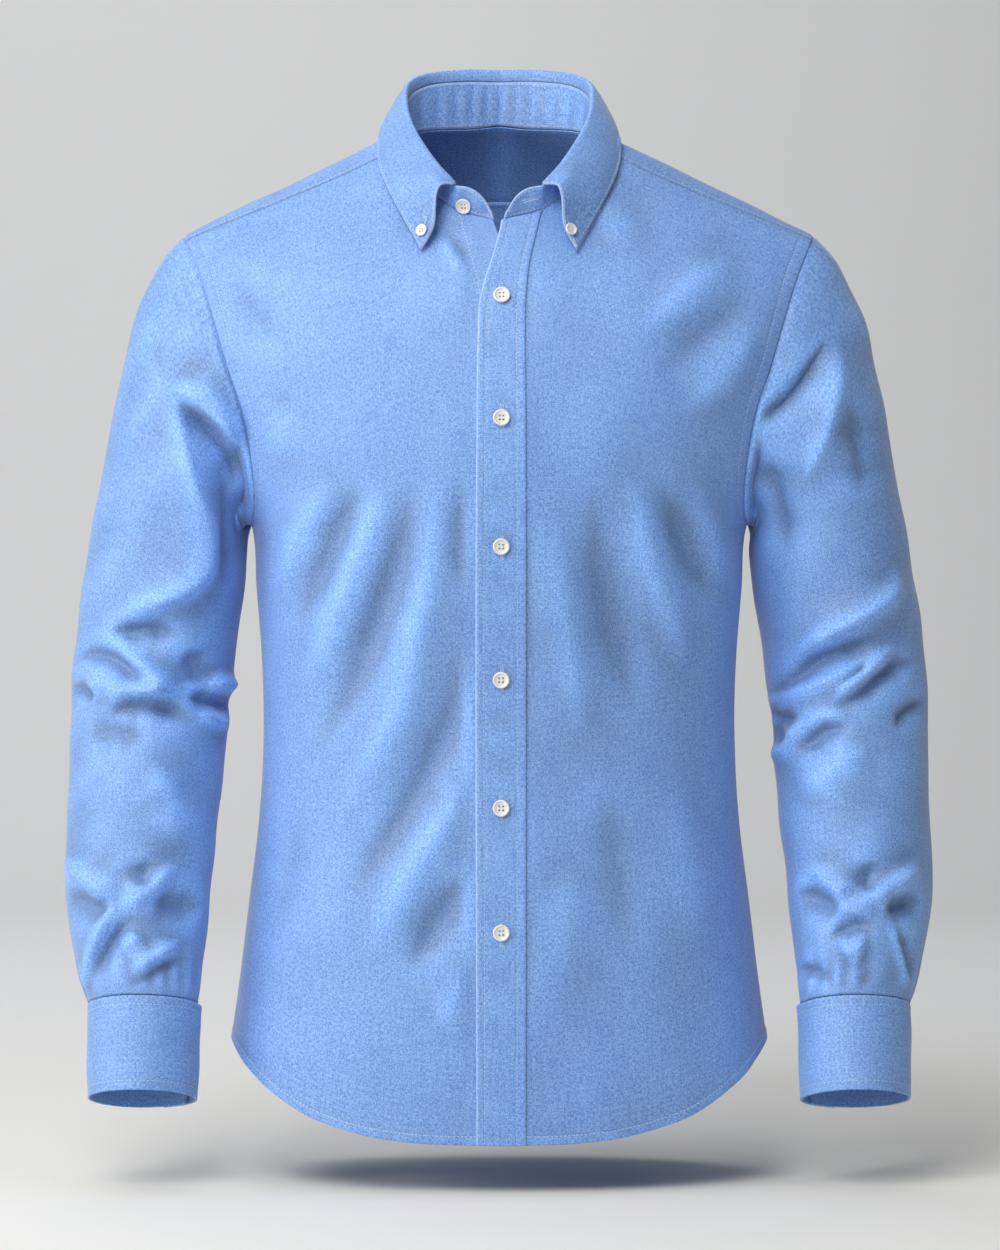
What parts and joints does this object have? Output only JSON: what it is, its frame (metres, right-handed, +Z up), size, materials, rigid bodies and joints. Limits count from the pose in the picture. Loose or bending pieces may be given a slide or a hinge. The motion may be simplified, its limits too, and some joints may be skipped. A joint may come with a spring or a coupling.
{
  "type": "oxford shirt",
  "caption": "Long-sleeved button-front oxford shirt with button-down collar, barrel cuffs and curved shirt-tail hem, filled out as worn.",
  "frame": {"origin": "middle of the neck opening, level with the shoulder line beside the collar, where a wearer or a hanger carries the shirt", "axes": "+Z up, the front faces -Y, +X towards the wearer's left sleeve"},
  "size_m": [0.6316, 0.2433, 0.7932],
  "materials": {
    "cloth": "soft woven oxford cotton, matt",
    "bands": "oxford cotton in two layers, stitched, matt",
    "buttons": "off-white resin, satin"
  },
  "bodies": {
    "root": {"front_left": "cloth", "front_right": "cloth", "back": "cloth", "yoke": "cloth", "sleeve_left": "cloth", "sleeve_right": "cloth", "placket": "bands", "gauntlet_left": "bands", "gauntlet_right": "bands", "cuff_left": "bands", "cuff_right": "bands", "collar_stand": "bands", "collar_leaf": "bands", "button_front_1": "buttons", "button_front_2": "buttons", "button_front_3": "buttons", "button_front_4": "buttons", "button_front_5": "buttons", "button_front_6": "buttons", "button_stand": "buttons", "button_collar_left": "buttons", "button_collar_right": "buttons"}
  },
  "joints": []
}
